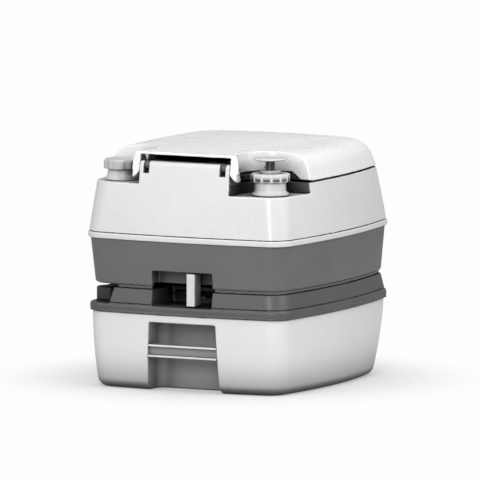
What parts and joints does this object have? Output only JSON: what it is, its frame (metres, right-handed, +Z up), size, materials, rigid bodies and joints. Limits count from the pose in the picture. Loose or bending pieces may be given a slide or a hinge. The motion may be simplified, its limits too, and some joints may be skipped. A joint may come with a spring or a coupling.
{
  "type": "portable camp toilet",
  "caption": "Two-piece portable camp toilet: waste tank with grip recess and slide valve under a flush-water tank with bowl, hinged seat and lid, piston pump and filler cap.",
  "frame": {"origin": "middle of the footprint, on the floor", "axes": "+Z up; -Y towards the hinge side with the pump, filler and valve pull; +X towards the pump, seen from the hinge side"},
  "size_m": [0.386, 0.4168, 0.3813],
  "materials": {
    "white_tank": "moulded polyethylene with a fine satin grain",
    "white_lid": "satin moulded plastic",
    "white_caps": "smooth satin moulded plastic",
    "white_valve": "smooth moulded plastic",
    "white_bowl": "polished moulded plastic",
    "grey_tank": "moulded polyethylene with a fine satin grain",
    "grey_seat": "satin moulded plastic",
    "grey_fittings": "moulded plastic",
    "pump_plastic": "smooth moulded plastic",
    "hose": "flexible plastic tube",
    "rubber": "soft black rubber",
    "steel": "bright stainless steel"
  },
  "bodies": {
    "waste_tank": {"waste_tank": "white_tank", "carry_handle": "white_tank", "tank_deck": "grey_tank", "valve_body": "grey_fittings", "blade_seal": "rubber", "outlet_seal": "rubber", "valve_screws": "steel", "spout_ring": "rubber"},
    "valve": {"valve_blade": "white_valve", "valve_pull": "white_valve"},
    "spout": {"pour_spout": "grey_fittings", "spout_retainer": "grey_fittings"},
    "spout_cap": {"spout_cap": "grey_fittings"},
    "upper_tank": {"flush_base": "grey_tank", "waist_gasket": "rubber", "upper_shell": "white_tank", "seat_deck": "grey_tank", "bowl": "white_bowl", "bowl_outlet": "white_bowl", "flush_nozzle": "white_bowl", "flush_hose": "hose", "fill_neck": "white_caps", "pump_collar": "white_caps", "pump_barrel": "pump_plastic", "pump_nut": "white_caps", "pump_gland": "white_caps", "foot_valve": "pump_plastic", "check_ball": "steel", "hinge_pins": "steel"},
    "fill_lift": {"fill_gasket": "rubber"},
    "fill_cap": {"fill_cap": "white_caps"},
    "pump": {"pump_rod": "pump_plastic", "pump_knob": "white_caps", "pump_piston": "pump_plastic", "piston_seal": "rubber"},
    "seat": {"seat": "grey_seat", "seat_buffers": "rubber"},
    "lid": {"lid": "white_lid", "lid_buffers": "rubber"}
  },
  "joints": [
    {"name": "tank_lift", "type": "slide", "parent": "waste_tank", "child": "upper_tank", "axis": [0, 0, 1], "range_m": [0, 0.2]},
    {"name": "valve_slide", "type": "slide", "parent": "waste_tank", "child": "valve", "axis": [0, -1, 0], "range_m": [0, 0.085]},
    {"name": "spout_swing", "type": "hinge", "parent": "waste_tank", "child": "spout", "pos_m": [-0.15, -0.1595, 0.147], "axis": [0, 0, 1], "range_deg": [0, 90]},
    {"name": "spout_cap_pull", "type": "slide", "parent": "spout", "child": "spout_cap", "axis": [0, 1, 0], "range_m": [0, 0.012]},
    {"name": "seat_hinge", "type": "hinge", "parent": "upper_tank", "child": "seat", "pos_m": [0, -0.1808, 0.357], "axis": [1, 0, 0], "range_deg": [0, 95]},
    {"name": "lid_hinge", "type": "hinge", "parent": "seat", "child": "lid", "pos_m": [0, -0.1808, 0.357], "axis": [-1, 0, 0], "range_deg": [-100, 0]},
    {"name": "pump_stroke", "type": "slide", "parent": "upper_tank", "child": "pump", "axis": [0, 0, 1], "range_m": [0, 0.055]},
    {"name": "fill_cap_rise", "type": "slide", "parent": "upper_tank", "child": "fill_lift", "axis": [0, 0, 1], "range_m": [0, 0.0046]},
    {"name": "fill_cap_turn", "type": "hinge", "parent": "fill_lift", "child": "fill_cap", "pos_m": [-0.13, -0.15, 0.353], "axis": [0, 0, 1], "range_deg": [0, 540]}
  ],
  "couplings": [
    {"joint": "fill_cap_rise", "follows": "fill_cap_turn", "m_per_rad": 0.00047746}
  ]
}
